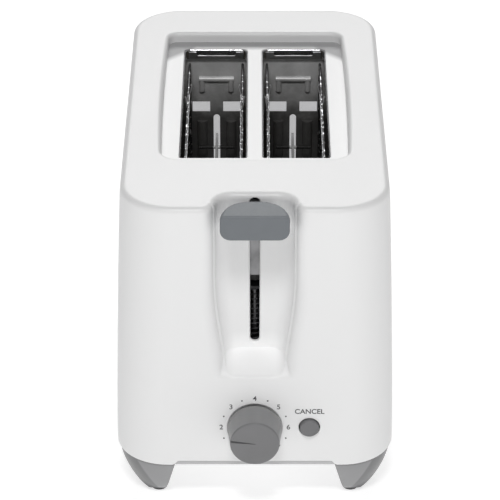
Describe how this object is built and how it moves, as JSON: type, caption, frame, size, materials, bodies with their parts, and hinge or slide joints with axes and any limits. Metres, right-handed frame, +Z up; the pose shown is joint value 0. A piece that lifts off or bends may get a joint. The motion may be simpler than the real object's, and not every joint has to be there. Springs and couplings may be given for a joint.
{
  "type": "pop up toaster",
  "caption": "Upright white kitchen toaster with long bread slots, a front lever that lowers the bread carriage, a browning dial, a cancel button and a slide-out crumb tray.",
  "frame": {"origin": "on the table under the middle of the whole object's box, dial included", "axes": "+Z up, +Y from the lever end to the rear, +X to the right of someone who faces the lever"},
  "size_m": [0.1604, 0.284, 0.1924],
  "materials": {
    "shell_white": "smooth glossy white moulding",
    "panel_white": "smooth white moulding",
    "slot_trim": "bright plated",
    "base_grey": "fine matt moulding",
    "foot_grey": "fine matt moulding",
    "pad_rubber": "matt",
    "screw_steel": "zinc plated",
    "chamber_steel": "aluminised sheet, heat stained",
    "mica": "layered mica sheet",
    "ribbon": "oxidised resistance ribbon",
    "guard_wire": "bright wire",
    "rod_steel": "ground rod",
    "spring_steel": "spring wire",
    "felt": "felt ring",
    "handle_grey": "fine satin moulding",
    "arm_steel": "pressed sheet",
    "bush_nylon": "nylon",
    "rack_wire": "plated bar and wire",
    "magnet_iron": "soft iron",
    "coil_copper": "enamelled copper winding",
    "contact_brass": "spring brass",
    "board_green": "printed circuit board",
    "pot_blue": "moulded case",
    "shaft_alloy": "turned",
    "knob_grey": "fine satin moulding",
    "switch_black": "moulded case",
    "tray_metal": "folded sheet",
    "inlet_grey": "moulded bush",
    "terminal_ivory": "moulded block",
    "lead_brown": "insulated lead"
  },
  "bodies": {
    "chassis": {"outer_shell": "shell_white", "top_panel": "panel_white", "slot_frame_left": "slot_trim", "slot_frame_right": "slot_trim", "base_plate": "base_grey", "foot_front_left": "foot_grey", "foot_front_right": "foot_grey", "foot_rear_left": "foot_grey", "foot_rear_right": "foot_grey", "foot_pads": "pad_rubber", "base_screws": "screw_steel", "front_end_plate": "chamber_steel", "rear_end_plate": "chamber_steel", "reflector_left": "chamber_steel", "reflector_right": "chamber_steel", "chamber_screws": "screw_steel", "heater_card_outer_left": "mica", "heater_card_inner_left": "mica", "heater_card_inner_right": "mica", "heater_card_outer_right": "mica", "ribbon_outer_left": "ribbon", "ribbon_inner_left": "ribbon", "ribbon_inner_right": "ribbon", "ribbon_outer_right": "ribbon", "guide_rod": "rod_steel", "rod_bracket": "arm_steel", "lift_spring": "spring_steel", "travel_bumper": "felt", "magnet_core": "magnet_iron", "magnet_coil": "coil_copper", "contact_block": "bush_nylon", "contact_blades": "contact_brass", "control_board": "board_green", "timer_pot": "pot_blue", "cancel_switch": "switch_black", "cord_inlet": "inlet_grey", "terminal_block": "terminal_ivory", "inner_leads": "lead_brown"},
    "carriage": {"lever_handle": "handle_grey", "lever_arm": "arm_steel", "carriage_bridge": "arm_steel", "guide_bush": "bush_nylon", "bread_rack_left": "rack_wire", "bread_rack_right": "rack_wire", "armature": "magnet_iron", "contact_pusher": "bush_nylon"},
    "guard_outer_left_frame": {"guard_outer_left": "guard_wire"},
    "guard_inner_left_frame": {"guard_inner_left": "guard_wire"},
    "guard_inner_right_frame": {"guard_inner_right": "guard_wire"},
    "guard_outer_right_frame": {"guard_outer_right": "guard_wire"},
    "dial": {"dial_knob": "knob_grey", "dial_shaft": "shaft_alloy"},
    "cancel_key": {"cancel_button": "knob_grey"},
    "tray": {"crumb_tray": "tray_metal"}
  },
  "joints": [
    {"name": "carriage_slide", "type": "slide", "parent": "chassis", "child": "carriage", "axis": [0, 0, -1], "range_m": [0, 0.075], "stiffness_N_per_m": 150, "springref_m": -0.03, "deforming": ["lift_spring"]},
    {"name": "guard_outer_left_tilt", "type": "hinge", "parent": "chassis", "child": "guard_outer_left_frame", "pos_m": [-0.0403, 0.0234, 0.0458], "axis": [0, 1, 0], "range_deg": [0, 3]},
    {"name": "guard_inner_left_tilt", "type": "hinge", "parent": "chassis", "child": "guard_inner_left_frame", "pos_m": [-0.0075, 0.0234, 0.0458], "axis": [0, -1, 0], "range_deg": [0, 3]},
    {"name": "guard_inner_right_tilt", "type": "hinge", "parent": "chassis", "child": "guard_inner_right_frame", "pos_m": [0.0075, 0.0234, 0.0458], "axis": [0, 1, 0], "range_deg": [0, 3]},
    {"name": "guard_outer_right_tilt", "type": "hinge", "parent": "chassis", "child": "guard_outer_right_frame", "pos_m": [0.0403, 0.0234, 0.0458], "axis": [0, -1, 0], "range_deg": [0, 3]},
    {"name": "dial_turn", "type": "hinge", "parent": "chassis", "child": "dial", "pos_m": [0, -0.125, 0.0517], "axis": [0, -1, 0], "range_deg": [-232, 38]},
    {"name": "cancel_press", "type": "slide", "parent": "chassis", "child": "cancel_key", "axis": [0, 1, 0], "range_m": [0, 0.0015], "stiffness_N_per_m": 300, "springref_m": -0.002},
    {"name": "crumb_tray_slide", "type": "slide", "parent": "chassis", "child": "tray", "axis": [0, 1, 0], "range_m": [0, 0.185]}
  ],
  "couplings": [
    {"joint": "guard_outer_left_tilt", "follows": "carriage_slide", "rad_per_m": 0.69},
    {"joint": "guard_inner_left_tilt", "follows": "carriage_slide", "rad_per_m": 0.69},
    {"joint": "guard_inner_right_tilt", "follows": "carriage_slide", "rad_per_m": 0.69},
    {"joint": "guard_outer_right_tilt", "follows": "carriage_slide", "rad_per_m": 0.69}
  ]
}
